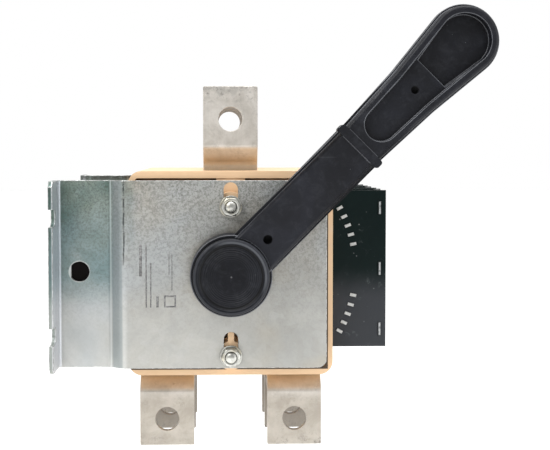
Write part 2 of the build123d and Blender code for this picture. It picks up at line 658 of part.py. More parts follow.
with BuildPart() as lever:
    with BuildSketch(lever_plane(HUB_BACK)):
        Circle(HUB_R)
    extrude(amount=HUB_H)
    with BuildSketch(lever_plane(ARM_BACK)):
        lever_outline()
    extrude(amount=(ARM_TOP - ARM_BACK) / 2)
    with BuildSketch(lever_plane((ARM_TOP + ARM_BACK) / 2)):
        lever_outline(shrink=EDGE_STEP)
    extrude(amount=(ARM_TOP - ARM_BACK) / 2)
    crown = lever.faces().filter_by(Axis.Y).sort_by(Axis.Y)[0]
    fillet(crown.edges(), radius=EDGE_ROUND)
    with BuildSketch(lever_plane(ARM_BACK - COLLAR_PROUD)):
        with Locations((COLLAR_AT, 0)):
            RectangleRounded(COLLAR_L, GRIP_W + 2 * COLLAR_PROUD, COLLAR_L / 3)
    extrude(amount=ARM_TOP - ARM_BACK + 2 * COLLAR_PROUD)
    # thumb pocket in the grip: its floor rises to a step, then drops
    with BuildSketch(lever_plane(ARM_TOP - POCKET_STEP)):
        with BuildLine():
            Polyline(
                (POCKET_START, POCKET_START_R),
                (POCKET_WAIST, POCKET_WAIST_W / 2),
                (GRIP_END_AT, POCKET_END_R),
            )
            ThreePointArc(
                (GRIP_END_AT, POCKET_END_R),
                (GRIP_END_AT + POCKET_END_R, 0),
                (GRIP_END_AT, -POCKET_END_R),
            )
            Polyline(
                (GRIP_END_AT, -POCKET_END_R),
                (POCKET_WAIST, -POCKET_WAIST_W / 2),
                (POCKET_START, -POCKET_START_R),
            )
            ThreePointArc(
                (POCKET_START, -POCKET_START_R),
                (POCKET_START - POCKET_START_R, 0),
                (POCKET_START, POCKET_START_R),
            )
        make_face()
    extrude(amount=POCKET_STEP + MORE, mode=Mode.SUBTRACT)
    with BuildSketch(lever_plane(ARM_TOP - POCKET_DEEP)):
        with BuildLine():
            Polyline(
                (POCKET_STEP_AT, POCKET_WAIST_W / 2),
                (GRIP_END_AT, POCKET_END_R),
            )
            ThreePointArc(
                (GRIP_END_AT, POCKET_END_R),
                (GRIP_END_AT + POCKET_END_R, 0),
                (GRIP_END_AT, -POCKET_END_R),
            )
            Polyline(
                (GRIP_END_AT, -POCKET_END_R),
                (POCKET_STEP_AT, -POCKET_WAIST_W / 2),
                (POCKET_STEP_AT, POCKET_WAIST_W / 2),
            )
        make_face()
    extrude(amount=POCKET_DEEP, mode=Mode.SUBTRACT)
    # seat for the cap, well for the screw, square drive, and two small blind holes
    with BuildSketch(lever_plane(HUB_BACK + HUB_H)):
        Circle(CAP_R + FREE)
    extrude(amount=ARM_TOP, mode=Mode.SUBTRACT)
    with BuildSketch(lever_plane(SCREW_SEAT)):
        Circle(WELL_R)
    extrude(amount=HUB_H, mode=Mode.SUBTRACT)
    with BuildSketch(lever_plane(0)):
        Rectangle(DRIVE_SQUARE + 2 * SLACK, DRIVE_SQUARE + 2 * SLACK)
    extrude(amount=HUB_H, mode=Mode.SUBTRACT)
    with BuildSketch(lever_plane(ARM_TOP)):
        with Locations((PIN_HOLE_AT, 0)):
            Circle(PIN_HOLE_R)
        with Locations((HANG_HOLE_AT, 0)):
            Circle(HANG_HOLE_R)
    extrude(amount=-PIN_HOLE_DEPTH, mode=Mode.SUBTRACT)
    # the arm is hollow at the back, with cross ribs
    with BuildSketch(lever_plane(ARM_BACK)):
        with Locations((CELLS_AT, 0)):
            with GridLocations(CELL_PITCH, 0, CELLS, 1):
                RectangleRounded(CELL_L, CELL_W, CELL_ROUND)
    extrude(amount=CELL_DEPTH, mode=Mode.SUBTRACT)
save(lever, "lever")

with BuildPart() as hub_cap:
    with BuildSketch(Plane(origin=(SHAFT_X, -PLATE_Y, SHAFT_Z), x_dir=(1, 0, 0), z_dir=(0, 0, -1))):
        with BuildLine():
            Polyline(
                (0, CAP_TOP - CAP_DISH),
                (CAP_R - CAP_RIM - CAP_DISH, CAP_TOP - CAP_DISH),
                (CAP_R - CAP_RIM, CAP_TOP),
                (CAP_R - CAP_EDGE, CAP_TOP),
                (CAP_R, CAP_TOP - CAP_EDGE),
                (CAP_R, HUB_BACK + HUB_H + SLACK),
                (WELL_R - FREE, HUB_BACK + HUB_H + SLACK),
                (WELL_R - FREE, HUB_BACK + HUB_H - CAP_SKIRT),
                (WELL_R - FREE - CAP_SKIRT_T, HUB_BACK + HUB_H - CAP_SKIRT),
                (WELL_R - FREE - CAP_SKIRT_T, CAP_TOP - CAP_DISH - CAP_T),
                (0, CAP_TOP - CAP_DISH - CAP_T),
                close=True,
            )
        make_face()
    revolve(axis=Axis((SHAFT_X, -PLATE_Y, SHAFT_Z), (0, 1, 0)))
save(hub_cap, "hub_cap")

with BuildPart() as lever_washer:
    with BuildSketch(lever_plane(SCREW_SEAT)):
        Circle(LEVER_WASHER_R)
        Circle(SCREW_R + FREE, mode=Mode.SUBTRACT)
    extrude(amount=WASHER_T)
save(lever_washer, "lever_washer")

with BuildPart() as lever_screw:
    with BuildSketch(lever_plane(SCREW_SEAT + WASHER_T)):
        RegularPolygon(SCREW_FLATS / 2, 6, major_radius=False)
    extrude(amount=SCREW_HEAD_H)
    with BuildSketch(lever_plane(SCREW_SEAT + WASHER_T)):
        Circle(SCREW_R)
    extrude(amount=-SCREW_L)
save(lever_screw, "lever_screw")
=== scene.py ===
import json
import math

import bmesh
import bpy
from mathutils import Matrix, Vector

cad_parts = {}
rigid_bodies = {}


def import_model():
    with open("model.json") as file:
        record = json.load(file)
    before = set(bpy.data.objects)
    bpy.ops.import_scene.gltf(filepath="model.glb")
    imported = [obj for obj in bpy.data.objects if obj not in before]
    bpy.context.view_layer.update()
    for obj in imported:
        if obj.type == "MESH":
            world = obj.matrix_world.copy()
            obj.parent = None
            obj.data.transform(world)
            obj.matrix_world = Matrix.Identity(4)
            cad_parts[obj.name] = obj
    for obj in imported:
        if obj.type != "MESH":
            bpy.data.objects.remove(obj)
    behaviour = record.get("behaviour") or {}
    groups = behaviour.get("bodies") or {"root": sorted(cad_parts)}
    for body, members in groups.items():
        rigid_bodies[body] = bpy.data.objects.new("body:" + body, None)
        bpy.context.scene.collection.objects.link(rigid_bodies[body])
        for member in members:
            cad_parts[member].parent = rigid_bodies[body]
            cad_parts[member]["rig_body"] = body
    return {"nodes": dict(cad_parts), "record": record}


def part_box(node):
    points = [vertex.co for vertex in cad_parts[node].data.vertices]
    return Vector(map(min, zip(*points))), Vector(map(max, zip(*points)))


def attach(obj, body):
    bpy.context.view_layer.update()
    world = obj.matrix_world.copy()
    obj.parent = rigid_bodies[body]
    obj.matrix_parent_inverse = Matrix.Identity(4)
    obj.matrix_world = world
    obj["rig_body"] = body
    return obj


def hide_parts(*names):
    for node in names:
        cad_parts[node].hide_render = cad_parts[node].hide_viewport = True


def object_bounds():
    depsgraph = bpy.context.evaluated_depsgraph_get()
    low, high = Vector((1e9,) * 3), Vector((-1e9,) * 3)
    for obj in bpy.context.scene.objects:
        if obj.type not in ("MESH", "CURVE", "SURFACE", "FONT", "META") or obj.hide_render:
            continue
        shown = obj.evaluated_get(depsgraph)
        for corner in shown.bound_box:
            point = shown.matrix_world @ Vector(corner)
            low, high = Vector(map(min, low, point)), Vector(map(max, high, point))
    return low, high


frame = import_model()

# A three-pole changeover switch, seen square on to its lever side. Metres, in the frame of the CAD.
MM = 0.001
FIXED, DRIVE = "fixed_frame", "drive"
nodes = frame["nodes"]
slots = {part["node"]: part["material_slot"] for part in frame["record"]["subparts"]}
cad_low, cad_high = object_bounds()


def middle(node):
    """The middle of a CAD node's box."""
    low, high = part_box(node)
    return (low + high) / 2


shaft = middle("drive_shaft")
plate_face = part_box("near_bush")[0].y  # outer face of the near bracket
plate_z = middle("near_bracket").z  # the middle of the bracket's height
pole_pitch = middle("rotor_2").y - middle("rotor_1").y
cad_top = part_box("top_terminal_1")[1].z


# ---- stage, camera and light -----------------------------------------------------------------
LENS = 92.3  # focal length in mm, for Blender's 36 mm sensor
CAMERA_TO_PLATE = 630 * MM
CAMERA_ABOVE_PLATE = 56.3 * MM
CAMERA_LEFT_OF_SHAFT = 5.0 * MM
CAMERA_PITCH = math.radians(-3.09)
CAMERA_YAW = math.radians(-2.25)
FLOOR_DROP = 60 * MM
FLOOR_HALF = 6.0
FLOOR_CELLS = 40
FLOOR_GLOW = 0.14
WHITE = (1.0, 1.0, 1.0)
SKY_LEAN = (0.0, 0.6, 0.8)  # the direction in which the sky gets brighter
SKY_DIM, SKY_DIM_AT = 0.06, -0.7  # strengths, and how far along the lean they are reached
SKY_BRIGHT, SKY_BRIGHT_AT = 1.0, 0.35
LIGHTS = (  # name, place, width and height, watts, colour
    ("key", (-0.55, -0.75, 0.75), (0.5, 0.5), 8.0, WHITE),
    ("fill", (0.9, -0.55, 0.1), (0.3, 0.7), 3.5, (0.95, 0.97, 1.0)),
    ("top", (0.1, -0.15, 0.95), (0.8, 0.4), 7.0, WHITE),
)


def make_camera():
    data = bpy.data.cameras.new("camera")
    data.lens = LENS
    data.clip_start = 0.01
    camera = bpy.data.objects.new("camera", data)
    camera.location = (
        shaft.x - CAMERA_LEFT_OF_SHAFT,
        plate_face - CAMERA_TO_PLATE,
        plate_z + CAMERA_ABOVE_PLATE,
    )
    camera.rotation_euler = (math.pi / 2 + CAMERA_PITCH, 0, CAMERA_YAW)
    bpy.context.scene.collection.objects.link(camera)
    bpy.context.scene.camera = camera


def make_world():
    """White above and behind the object, dim below and in front, so that metal has something to reflect."""
    world = bpy.data.worlds.new("studio")
    world.use_nodes = True
    tree = world.node_tree
    background = tree.nodes["Background"]
    background.inputs["Color"].default_value = (*WHITE, 1.0)
    place = tree.nodes.new("ShaderNodeTexCoord")
    lean = tree.nodes.new("ShaderNodeVectorMath")
    lean.operation = "DOT_PRODUCT"
    lean.inputs[1].default_value = SKY_LEAN
    fade = tree.nodes.new("ShaderNodeMapRange")
    tree.links.new(place.outputs["Generated"], lean.inputs[0])
    tree.links.new(lean.outputs["Value"], fade.inputs["Value"])
    tree.links.new(fade.outputs["Result"], background.inputs["Strength"])
    fade.inputs["From Min"].default_value = SKY_DIM_AT
    fade.inputs["From Max"].default_value = SKY_BRIGHT_AT
    fade.inputs["To Min"].default_value = SKY_DIM
    fade.inputs["To Max"].default_value = SKY_BRIGHT
    bpy.context.scene.world = world


def area_light(name, place, size, watts, colour):
    """A rectangular lamp that faces the drive shaft."""
    data = bpy.data.lights.new(name, "AREA")
    data.shape = "RECTANGLE"
    data.size, data.size_y = size
    data.energy = watts
    data.color = colour
    lamp = bpy.data.objects.new(name, data)
    lamp.location = place
    lamp.rotation_mode = "QUATERNION"
    lamp.rotation_quaternion = (shaft - Vector(place)).to_track_quat("-Z", "Y")
    bpy.context.scene.collection.objects.link(lamp)


def make_floor():
    mesh = bmesh.new()
    bmesh.ops.create_grid(mesh, x_segments=FLOOR_CELLS, y_segments=FLOOR_CELLS, size=FLOOR_HALF)
    bmesh.ops.translate(mesh, verts=mesh.verts, vec=(0, 0, cad_low.z - FLOOR_DROP))
    data = bpy.data.meshes.new("floor")
    mesh.to_mesh(data)
    mesh.free()
    floor = bpy.data.objects.new("floor", data)
    bpy.context.scene.collection.objects.link(floor)
    look = Look("pale_floor", roughness=0.7)
    look.colour(look.mix(look.noise(3.0), (0.93, 0.93, 0.93), (0.95, 0.95, 0.95)))
    look.shader.inputs["Emission Color"].default_value = (*WHITE, 1.0)
    look.shader.inputs["Emission Strength"].default_value = FLOOR_GLOW
    data.materials.append(look.material)


# ---- procedural materials --------------------------------------------------------------------
# Scales of noise and cells are in features per metre. Colours are linear RGB. Heights are Z in the frame.
COLOUR_A, COLOUR_B, COLOUR_RESULT = 6, 7, 2  # the colour sockets of a Mix node
AO_SAMPLES = 8
SCRATCH_LONG = 0.06  # scale along a scratch, for 1 across it


class Look:
    """One node material being put together. Textures are laid out in the object's own metres."""

    def __init__(self, name, metallic=0.0, roughness=0.5, specular=0.5):
        self.material = bpy.data.materials.new(name)
        self.material.use_nodes = True
        self.tree = self.material.node_tree
        self.shader = self.tree.nodes["Principled BSDF"]
        self.shader.inputs["Metallic"].default_value = metallic
        self.shader.inputs["Roughness"].default_value = roughness
        self.shader.inputs["Specular IOR Level"].default_value = specular
        self.place = self.tree.nodes.new("ShaderNodeTexCoord").outputs["Object"]
        self.height = None

    def link(self, value, socket):
        """Feeds a node's output, or sets a plain number or colour."""
        if isinstance(value, bpy.types.NodeSocket):
            self.tree.links.new(value, socket)
        elif isinstance(value, tuple):
            socket.default_value = (*value, 1.0)
        else:
            socket.default_value = value

    # textures and places: each gives a value at every point

    def stretched(self, scale, turn=0.0):
        """The object's coordinates, scaled unevenly and turned about Y."""
        mapping = self.tree.nodes.new("ShaderNodeMapping")
        self.tree.links.new(self.place, mapping.inputs["Vector"])
        mapping.inputs["Scale"].default_value = scale
        mapping.inputs["Rotation"].default_value = (0, turn, 0)
        return mapping.outputs["Vector"]

    def noise(self, scale, detail=3.0, rough=0.5, distortion=0.0, place=None):
        node = self.tree.nodes.new("ShaderNodeTexNoise")
        self.tree.links.new(place or self.place, node.inputs["Vector"])
        node.inputs["Scale"].default_value = scale
        node.inputs["Detail"].default_value = detail
        node.inputs["Roughness"].default_value = rough
        node.inputs["Distortion"].default_value = distortion
        return node.outputs["Fac"]

    def cells(self, scale, output="Distance"):
        node = self.tree.nodes.new("ShaderNodeTexVoronoi")
        self.tree.links.new(self.place, node.inputs["Vector"])
        node.inputs["Scale"].default_value = scale
        return node.outputs[output]

    def grey(self, colour):
        node = self.tree.nodes.new("ShaderNodeRGBToBW")
        self.tree.links.new(colour, node.inputs[0])
        return node.outputs[0]

    def axis(self, letter):
        node = self.tree.nodes.new("ShaderNodeSeparateXYZ")
        self.tree.links.new(self.place, node.inputs[0])
        return node.outputs[letter]

    def round_axis(self, x=shaft.x, z=shaft.z):
        """Distance from an axis along Y, the drive shaft's if no other is given."""
        node = self.tree.nodes.new("ShaderNodeVectorMath")
        node.operation = "DISTANCE"
        node.inputs[1].default_value = (x, 0.0, z)
        self.tree.links.new(self.stretched((1.0, 0.0, 1.0)), node.inputs[0])
        return node.outputs["Value"]

    def occluded(self, distance):
        """1 deep in gaps and corners and 0 on open faces: a mask for painted shade and painted reflection."""
        node = self.tree.nodes.new("ShaderNodeAmbientOcclusion")
        node.samples = AO_SAMPLES
        node.inputs["Distance"].default_value = distance
        return self.band(node.outputs["AO"], 0.85, 0.25)

    # arithmetic and masks

    def maths(self, operation, first, second=None):
        node = self.tree.nodes.new("ShaderNodeMath")
        node.operation = operation
        self.link(first, node.inputs[0])
        if second is not None:
            self.link(second, node.inputs[1])
        return node.outputs[0]

    def times(self, first, *others):
        """The product of the values. Masks multiplied together show only where all of them are."""
        for other in others:
            first = self.maths("MULTIPLY", first, other)
        return first

    def plus(self, value, other, share):
        """A value and a share of another."""
        return self.maths("ADD", value, self.times(other, share))

    def band(self, value, low, high):
        """0 at low, 1 at high, with a smooth rise; low may be above high for a fall."""
        node = self.tree.nodes.new("ShaderNodeMapRange")
        node.interpolation_type = "SMOOTHSTEP"
        self.tree.links.new(value, node.inputs["Value"])
        ends = ((low, 0.0), (high, 1.0)) if low < high else ((high, 1.0), (low, 0.0))
        node.inputs["From Min"].default_value, node.inputs["To Min"].default_value = ends[0]
        node.inputs["From Max"].default_value, node.inputs["To Max"].default_value = ends[1]
        return node.outputs["Result"]

    def stripe(self, value, centre, half, soft):
        """1 within half of the centre, 0 past it, with soft sides."""
        rise = self.band(value, centre - half - soft, centre - half)
        fall = self.band(value, centre + half + soft, centre + half)
        return self.times(rise, fall)

    def scratches(self, turn, scale, thin):
        """Sparse thin straight marks at one angle."""
        streak = self.noise(scale, 2.0, place=self.stretched((SCRATCH_LONG, 1.0, 1.0), turn))
        broken = self.noise(38.0, 2.0)
        return self.times(self.band(streak, thin, thin + 0.03), self.band(broken, 0.5, 0.62))

    # colours

    def mix(self, amount, first, second, blend="MIX"):
        node = self.tree.nodes.new("ShaderNodeMix")
        node.data_type = "RGBA"
        node.blend_type = blend
        self.link(amount, node.inputs["Factor"])
        self.link(first, node.inputs[COLOUR_A])
        self.link(second, node.inputs[COLOUR_B])
        return node.outputs[COLOUR_RESULT]

    def coat(self, colour, mask, strength, tint, blend="MIX"):
        """Lays a tint over a colour where the mask is."""
        return self.mix(self.times(mask, strength), colour, tint, blend)

    # what the shader is given

    def colour(self, value):
        self.link(value, self.shader.inputs["Base Color"])

    def gloss(self, value, low, high):
        """Roughness that runs from low to high with the value."""
        node = self.tree.nodes.new("ShaderNodeMapRange")
        self.tree.links.new(value, node.inputs["Value"])
        node.inputs["To Min"].default_value = low
        node.inputs["To Max"].default_value = high
        self.tree.links.new(node.outputs["Result"], self.shader.inputs["Roughness"])

    def bump(self, value, distance, strength):
        node = self.tree.nodes.new("ShaderNodeBump")
        self.tree.links.new(value, node.inputs["Height"])
        node.inputs["Distance"].default_value = distance
        node.inputs["Strength"].default_value = strength
        if self.height is not None:
            self.tree.links.new(self.height, node.inputs["Normal"])
        self.height = node.outputs["Normal"]
        self.tree.links.new(self.height, self.shader.inputs["Normal"])


# ---- galvanised sheet
PLATE_TONE = (0.80, 0.785, 0.765)  # the main plate is duller and warmer than its leg
JOG_LINE = shaft.x - 54.0 * MM  # where the leg turns towards the main plate
RUB_LINE = shaft.x - 47.8 * MM  # where it meets the main plate
WEB_HALF, WEB_SOFT = 1.9 * MM, 0.8 * MM  # half width of the web's painted shade, and its soft sides; the lines below give the same for the bend's painted highlight, the rub and the seam
BEND_HIGHLIGHT_HALF, BEND_HIGHLIGHT_SOFT = 0.2 * MM, 0.35 * MM
RUB_HALF, RUB_SOFT = 0.12 * MM, 0.45 * MM
SEAM_HALF, SEAM_SOFT = 1.5 * MM, 3 * MM
PLATE_FADE = 2 * MM
MOTTLED_FROM, MOTTLED_TO = -34 * MM, 40 * MM  # heights between which the sheet darkens towards the top, a painted reflection, and the mottling thickens
SPECKLED_FROM, SPECKLED_TO = 8 * MM, 38 * MM
LEG_REFLECTION_LEFT_OF, LEG_REFLECTION_FADES_AT = 24 * MM, 28 * MM  # the painted greenish reflection covers the leg up to here in X
LEG_REFLECTION_FROM, LEG_REFLECTION_TO = -16 * MM, 2 * MM
SEAM_BLOOM_FROM, SEAM_BLOOM_TO = 2 * MM, 30 * MM
RUB_FROM, RUB_TO = 1 * MM, 10 * MM
RUB_WANDER = 1.6 * MM
LEG_HOLE_X = shaft.x - 68.2 * MM
LEG_HOLE_Z = plate_z + 1.1 * MM
HOLE_GLINT_R, HOLE_GLINT_FADE_R = 5.05 * MM, 5.4 * MM  # painted highlight in a ring round the leg's hole
HOLE_GLINT_WANDER = 0.8 * MM
FOOT_OUTSIDE, FOOT_OUTSIDE_FADE = 1.2 * MM, 1.7 * MM  # painted shade up to here in X, from the panel
FOOT_INSIDE, FOOT_INSIDE_HALF, FOOT_INSIDE_SOFT = 2.3 * MM, 0.5 * MM, 0.6 * MM  # and a painted bluish reflection here
TOP_EDGE_FROM, TOP_EDGE_TO = 38.5 * MM, 41 * MM  # where painted shade lies along the far bracket's top edge


def weathered_zinc(look, cloud, spangle, grain, fine, leg_reflection):
    """Clouded zinc with warm and bluish patches, mottling and speckle near the top, and painted reflection:
    darker towards the top, greenish high on the leg. A greenish stain lies beside the seam.
    """
    across, height = look.axis("X"), look.axis("Z")
    upper = look.band(height, MOTTLED_FROM, MOTTLED_TO)
    seam = look.stripe(across, RUB_LINE + SEAM_HALF, SEAM_HALF, SEAM_SOFT)
    seam_bloom = look.times(seam, look.band(height, SEAM_BLOOM_FROM, SEAM_BLOOM_TO), 0.7)
    green_reflection_and_stain = look.maths("MAXIMUM", leg_reflection, seam_bloom)
    colour = look.mix(look.band(cloud, 0.30, 0.70), (0.41, 0.415, 0.395), (0.53, 0.53, 0.50))
    main_plate = look.band(across, RUB_LINE, RUB_LINE + PLATE_FADE)
    colour = look.mix(main_plate, colour, PLATE_TONE, "MULTIPLY")
    # painted reflection: the sheet darkens towards the top
    colour = look.coat(colour, upper, 0.55, (0.25, 0.25, 0.235))
    # painted greenish reflection high on the leg, and the greenish stain beside the seam
    colour = look.coat(colour, green_reflection_and_stain, 0.95, (0.080, 0.135, 0.115))
    warm = look.band(look.noise(17.0, 3.0, 0.6), 0.48, 0.64)
    colour = look.coat(colour, warm, 0.45, (0.40, 0.345, 0.25))
    bluish = look.band(look.noise(11.0, 3.0, 0.55, 0.4), 0.50, 0.64)
    colour = look.coat(colour, bluish, 0.4, (0.35, 0.40, 0.44))
    colour = look.coat(colour, spangle, 0.16, (0.56, 0.58, 0.60))
    colour = look.coat(colour, fine, look.plus(0.03, upper, 0.50), (0.12, 0.12, 0.105))
    near_top = look.maths("MAXIMUM", look.band(height, SPECKLED_FROM, SPECKLED_TO), look.times(green_reflection_and_stain, 0.5))
    speckle = look.times(look.band(grain, 0.50, 0.60), look.band(cloud, 0.36, 0.56))
    colour = look.coat(colour, speckle, look.plus(0.06, near_top, 0.9), (0.09, 0.09, 0.08))
    return look.coat(colour, look.scratches(0.7, 300.0, 0.72), 0.25, (0.72, 0.73, 0.73))


def press_marks(look, colour):
    """A painted highlight along one bend, painted shade on the blue-grey sloping web, and a black rub that
    the press leaves at the other bend.
    """
    across = look.axis("X")
    # painted shade on the sloping web, and a painted highlight along the bend at the jog
    web_shade = look.stripe(across, (JOG_LINE + RUB_LINE) / 2, WEB_HALF, WEB_SOFT)
    colour = look.coat(colour, web_shade, 0.6, (0.20, 0.235, 0.24))
    bend_highlight = look.stripe(across, JOG_LINE, BEND_HIGHLIGHT_HALF, BEND_HIGHLIGHT_SOFT)
    colour = look.coat(colour, bend_highlight, 0.65, (0.66, 0.68, 0.66))
    wander = look.plus(across, look.noise(90.0, 3.0, 0.6), RUB_WANDER)
    rub = look.stripe(wander, RUB_LINE + RUB_WANDER / 2, RUB_HALF, RUB_SOFT)
    broken = look.band(look.noise(330.0, 4.0, 0.7), 0.34, 0.50)
    rub = look.times(rub, look.band(look.axis("Z"), RUB_FROM, RUB_TO), broken)
    return look.coat(colour, rub, 0.9, (0.02, 0.025, 0.025))


def painted_light_on_bracket(look, colour, cloud):
    """Painted light: a highlight round the leg's hole, shade and a bluish reflection on the foot's two sides,
    shade along the far bracket's top edge, and shade in corners.
    """
    across = look.axis("X")
    around_hole = look.plus(look.round_axis(LEG_HOLE_X, LEG_HOLE_Z), cloud, HOLE_GLINT_WANDER)
    colour = look.coat(colour, look.band(around_hole, HOLE_GLINT_FADE_R, HOLE_GLINT_R), 0.65, (0.70, 0.71, 0.69))
    outside = look.band(across, FOOT_OUTSIDE_FADE, FOOT_OUTSIDE)
    colour = look.coat(colour, outside, 0.8, (0.50, 0.56, 0.54), "MULTIPLY")
    inside = look.stripe(across, FOOT_INSIDE, FOOT_INSIDE_HALF, FOOT_INSIDE_SOFT)
    colour = look.coat(colour, inside, 0.5, (0.56, 0.58, 0.64))
    top_edge = look.band(look.axis("Z"), TOP_EDGE_FROM, TOP_EDGE_TO)
    far_side = look.band(look.axis("Y"), 0.0, 1 * MM)
    far_top_shade = look.times(top_edge, far_side, look.band(look.noise(300.0, 4.0, 0.7), 0.30, 0.55))
    colour = look.coat(colour, far_top_shade, 0.85, (0.05, 0.05, 0.045))
    return look.coat(colour, look.occluded(5 * MM), 0.75, (0.05, 0.045, 0.04))


def galvanised():
    """Zinc-dipped sheet: spangle and mottling, with painted reflection that darkens it near the top and turns
    the legs greenish high up.
    """
    look = Look("galvanised_sheet", metallic=0.45, roughness=0.4)
    cloud = look.noise(26.0, 6.0, 0.68, 0.8)
    spangle = look.grey(look.cells(260.0, "Color"))
    grain = look.noise(1000.0, 6.0, 0.85)
    fine = look.band(look.noise(800.0, 4.0, 0.8), 0.45, 0.60)
    on_leg = look.band(look.axis("X"), LEG_REFLECTION_FADES_AT, LEG_REFLECTION_LEFT_OF)
    high_up = look.band(look.axis("Z"), LEG_REFLECTION_FROM, LEG_REFLECTION_TO)
    leg_reflection = look.times(on_leg, high_up, look.band(cloud, 0.18, 0.46))
    colour = weathered_zinc(look, cloud, spangle, grain, fine, leg_reflection)
    colour = press_marks(look, colour)
    # the painted greenish reflection on the leg, laid over once more
    colour = look.coat(colour, leg_reflection, 0.95, (0.76, 0.89, 0.89), "MULTIPLY")
    look.colour(painted_light_on_bracket(look, colour, cloud))
    look.gloss(look.plus(look.times(spangle, 0.4), fine, 0.5), 0.30, 0.52)
    look.bump(grain, 0.02 * MM, 0.5)
    look.bump(spangle, 0.01 * MM, 0.5)
    return look.material


def edge_wear_and_glint():
    """Bright zinc where the sheet was cut or bent sharply: wear, and a painted highlight along the edges."""
    look = Look("edge_wear_and_glint", metallic=0.8, roughness=0.32)
    worn = look.noise(500.0, 4.0, 0.7)
    look.colour(look.mix(look.band(worn, 0.35, 0.65), (0.15, 0.155, 0.15), (0.56, 0.57, 0.56)))
    look.gloss(worn, 0.2, 0.45)
    look.bump(worn, 0.02 * MM, 0.5)
    return look.material


# ---- small hardware and other metal
def bright_zinc():
    """Passivated zinc on small hardware, with a faint yellow tinge and painted shade in its corners."""
    look = Look("zinc_hardware", metallic=0.85, roughness=0.28)
    cloud = look.noise(420.0, 3.0, 0.6)
    colour = look.mix(look.band(cloud, 0.35, 0.65), (0.44, 0.44, 0.41), (0.62, 0.62, 0.57))
    tinge = look.band(look.noise(150.0, 2.0), 0.52, 0.62)
    colour = look.coat(colour, tinge, 0.3, (0.46, 0.38, 0.20))
    # painted shade in the corners
    look.colour(look.coat(colour, look.occluded(1.2 * MM), 0.7, (0.05, 0.045, 0.035)))
    look.gloss(look.noise(700.0, 3.0, 0.6), 0.22, 0.38)
    look.bump(look.noise(900.0, 2.0), 0.01 * MM, 0.3)
    return look.material


def plain_metal(name, dark, light, low, high, metallic):
    """Machined or rolled metal with drawn streaks and uneven gloss."""
    look = Look(name, metallic=metallic, roughness=0.3)
    streak = look.noise(700.0, 3.0, 0.6, place=look.stretched((1.0, 0.15, 1.0)))
    cloud = look.noise(110.0, 4.0, 0.6)
    look.colour(look.mix(look.times(look.maths("ADD", streak, cloud), 0.5), dark, light))
    look.gloss(streak, low, high)
    look.bump(streak, 0.01 * MM, 0.6)
    return look.material


# ---- black plastics
RING_WAVE = 2 * math.pi / (0.85 * MM)  # rings of the hub cap, by radius
RINGS_FROM_R, RINGS_FULL_R = 6 * MM, 9 * MM
CAP_RIM = (16.0 * MM, 0.25 * MM, 0.4 * MM)  # painted highlight round the rounded rim: radius, half width, soft sides
CAP_RIM_GLINT = (15.0 * MM, 0.25 * MM, 0.45 * MM)  # painted highlight on the rim's inner edge
CAP_FOOT = (13.6 * MM, 0.2 * MM, 0.5 * MM)  # painted shade at the foot of the slope into the dish
LEVER_SIDE_FROM, LEVER_SIDE_TO = 4 * MM, 16 * MM  # in X + Z, past the shaft's X
DOT_R, DOT_FADE_R = 0.25 * MM, 0.5 * MM
CLOUD_GAIN = 2.4  # the clouds are this many times as light as the moulding's base colour


def black_moulding(name, base, low, high, specular=0.22, corner_shade=0.8):
    """Satin black plastic with dust, pale flecks, soft flow marks and painted shade in corners and gaps."""
    look = Look(name, roughness=0.45, specular=specular)
    cloud = look.noise(26.0, 5.0, 0.65, 0.8)
    colour = look.mix(look.band(cloud, 0.35, 0.70), base, tuple(CLOUD_GAIN * part for part in base))
    film = look.band(look.noise(210.0, 5.0, 0.75, 0.5), 0.46, 0.70)
    colour = look.coat(colour, film, 0.07, (0.10, 0.105, 0.12))
    dust = look.times(look.band(look.cells(360.0), 0.05, 0.02), look.band(look.noise(60.0, 2.0), 0.50, 0.58))
    colour = look.coat(colour, dust, 0.55, (0.32, 0.33, 0.35))
    colour = look.coat(colour, look.scratches(0.78, 420.0, 0.70), 0.12, (0.20, 0.21, 0.23))
    # painted shade in corners and gaps
    look.colour(look.coat(colour, look.occluded(5 * MM), corner_shade, (0.001, 0.001, 0.0012)))
    look.gloss(look.noise(90.0, 6.0, 0.75), low, high)
    look.bump(look.noise(1900.0, 3.0, 0.7), 0.018 * MM, 0.6)
    return look


def lever_moulding():
    return black_moulding("lever_plastic", (0.0040, 0.0044, 0.0064), 0.34, 0.56).material


def rubbed_edge_glint():
    """The lever's edges, greyed by handling and lighter still as a painted highlight."""
    return black_moulding("rubbed_edge_glint", (0.042, 0.044, 0.050), 0.24, 0.42, 0.45, 0.0).material


def rotor_moulding():
    return black_moulding("rotor_plastic", (0.014, 0.014, 0.015), 0.4, 0.6, 0.38).material


